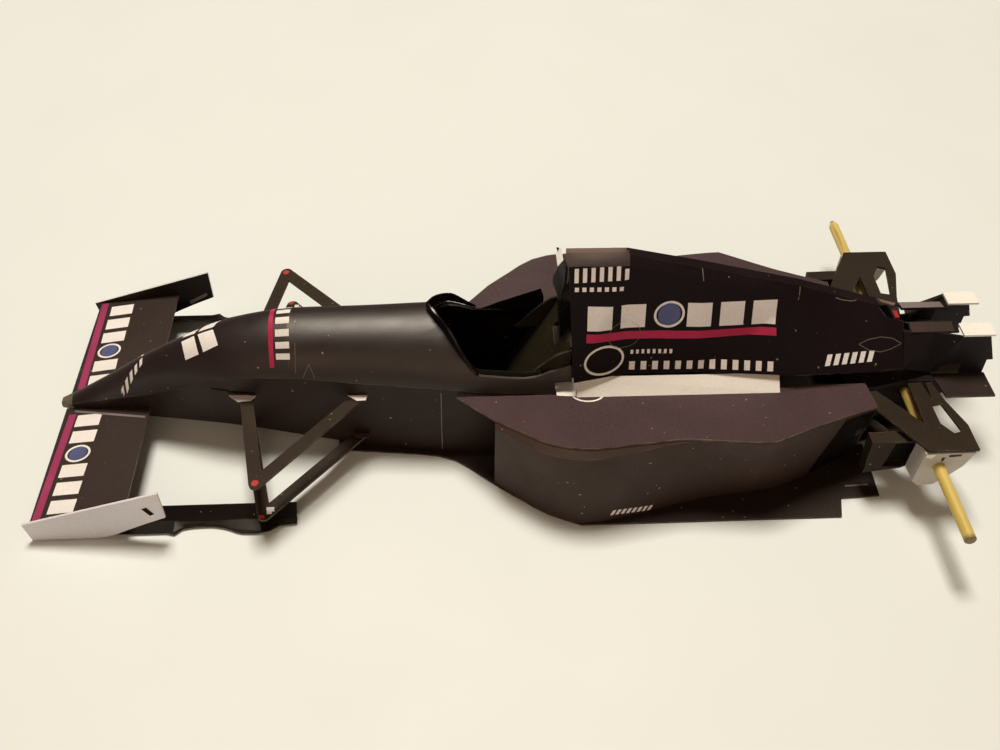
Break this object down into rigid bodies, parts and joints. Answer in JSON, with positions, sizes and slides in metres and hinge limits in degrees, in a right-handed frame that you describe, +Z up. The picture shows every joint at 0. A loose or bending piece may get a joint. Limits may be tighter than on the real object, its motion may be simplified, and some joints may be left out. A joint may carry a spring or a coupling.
{
  "type": "unfinished card scale model of an open wheel racing car",
  "caption": "Card model of an open wheel racing car without wheels or rear wing: folded shell, wings, wishbones and a turning wooden stick as rear axle.",
  "frame": {"origin": "on the table under the middle of the overall length and width", "axes": "+X towards the nose, +Y towards the car's left, +Z up"},
  "size_m": [0.172, 0.0826, 0.0387],
  "materials": {
    "black_card": "matt printed card, aubergine black",
    "dark_card": "matt printed card, olive grey",
    "gloss_card": "glossy black card",
    "olive_card": "matt printed card, dark olive",
    "white_card": "unprinted white card",
    "grey_card": "printed card, light grey",
    "red_card": "printed card, red",
    "wood_stick": "bare round wooden stick"
  },
  "bodies": {
    "car": {"airbox_front": "gloss_card", "brake_duct_left": "black_card", "brake_duct_right": "black_card", "bulkhead": "dark_card", "cockpit_cowl": "black_card", "cockpit_liner": "gloss_card", "cockpit_side_left": "olive_card", "cockpit_side_right": "olive_card", "diffuser": "dark_card", "endplate_left": "grey_card", "endplate_right": "grey_card", "engine_cover": "black_card", "floor_plate": "dark_card", "footplate_left": "black_card", "footplate_right": "black_card", "front_wing_left": "black_card", "front_wing_right": "black_card", "front_wishbone_lower_left": "black_card", "front_wishbone_lower_right": "black_card", "front_wishbone_upper_left": "black_card", "front_wishbone_upper_right": "black_card", "gearbox": "dark_card", "glue_flange_left": "white_card", "glue_flange_right": "white_card", "headrest": "gloss_card", "nose_cone": "black_card", "nose_tip": "black_card", "rear_fin_left": "black_card", "rear_fin_right": "black_card", "rear_shelf_left": "black_card", "rear_shelf_right": "black_card", "rear_upright_left": "grey_card", "rear_upright_right": "grey_card", "rear_wishbone_lower_left": "black_card", "rear_wishbone_lower_right": "black_card", "rear_wishbone_upper_left": "black_card", "rear_wishbone_upper_right": "black_card", "seat_back": "olive_card", "sidepod_side_left": "dark_card", "sidepod_side_right": "dark_card", "sidepod_top_left": "black_card", "sidepod_top_right": "black_card", "tail_lamp": "red_card", "tail_wall": "dark_card", "tub_front": "dark_card", "tub_rear": "dark_card", "windscreen": "gloss_card", "wing_tab_left": "white_card", "wing_tab_right": "white_card"},
    "axle": {"rear_axle": "wood_stick"}
  },
  "joints": [
    {"name": "axle_spin", "type": "hinge", "parent": "car", "child": "axle", "pos_m": [-0.07055, 0, 0.0112], "axis": [0, 1, 0], "continuous": true}
  ]
}
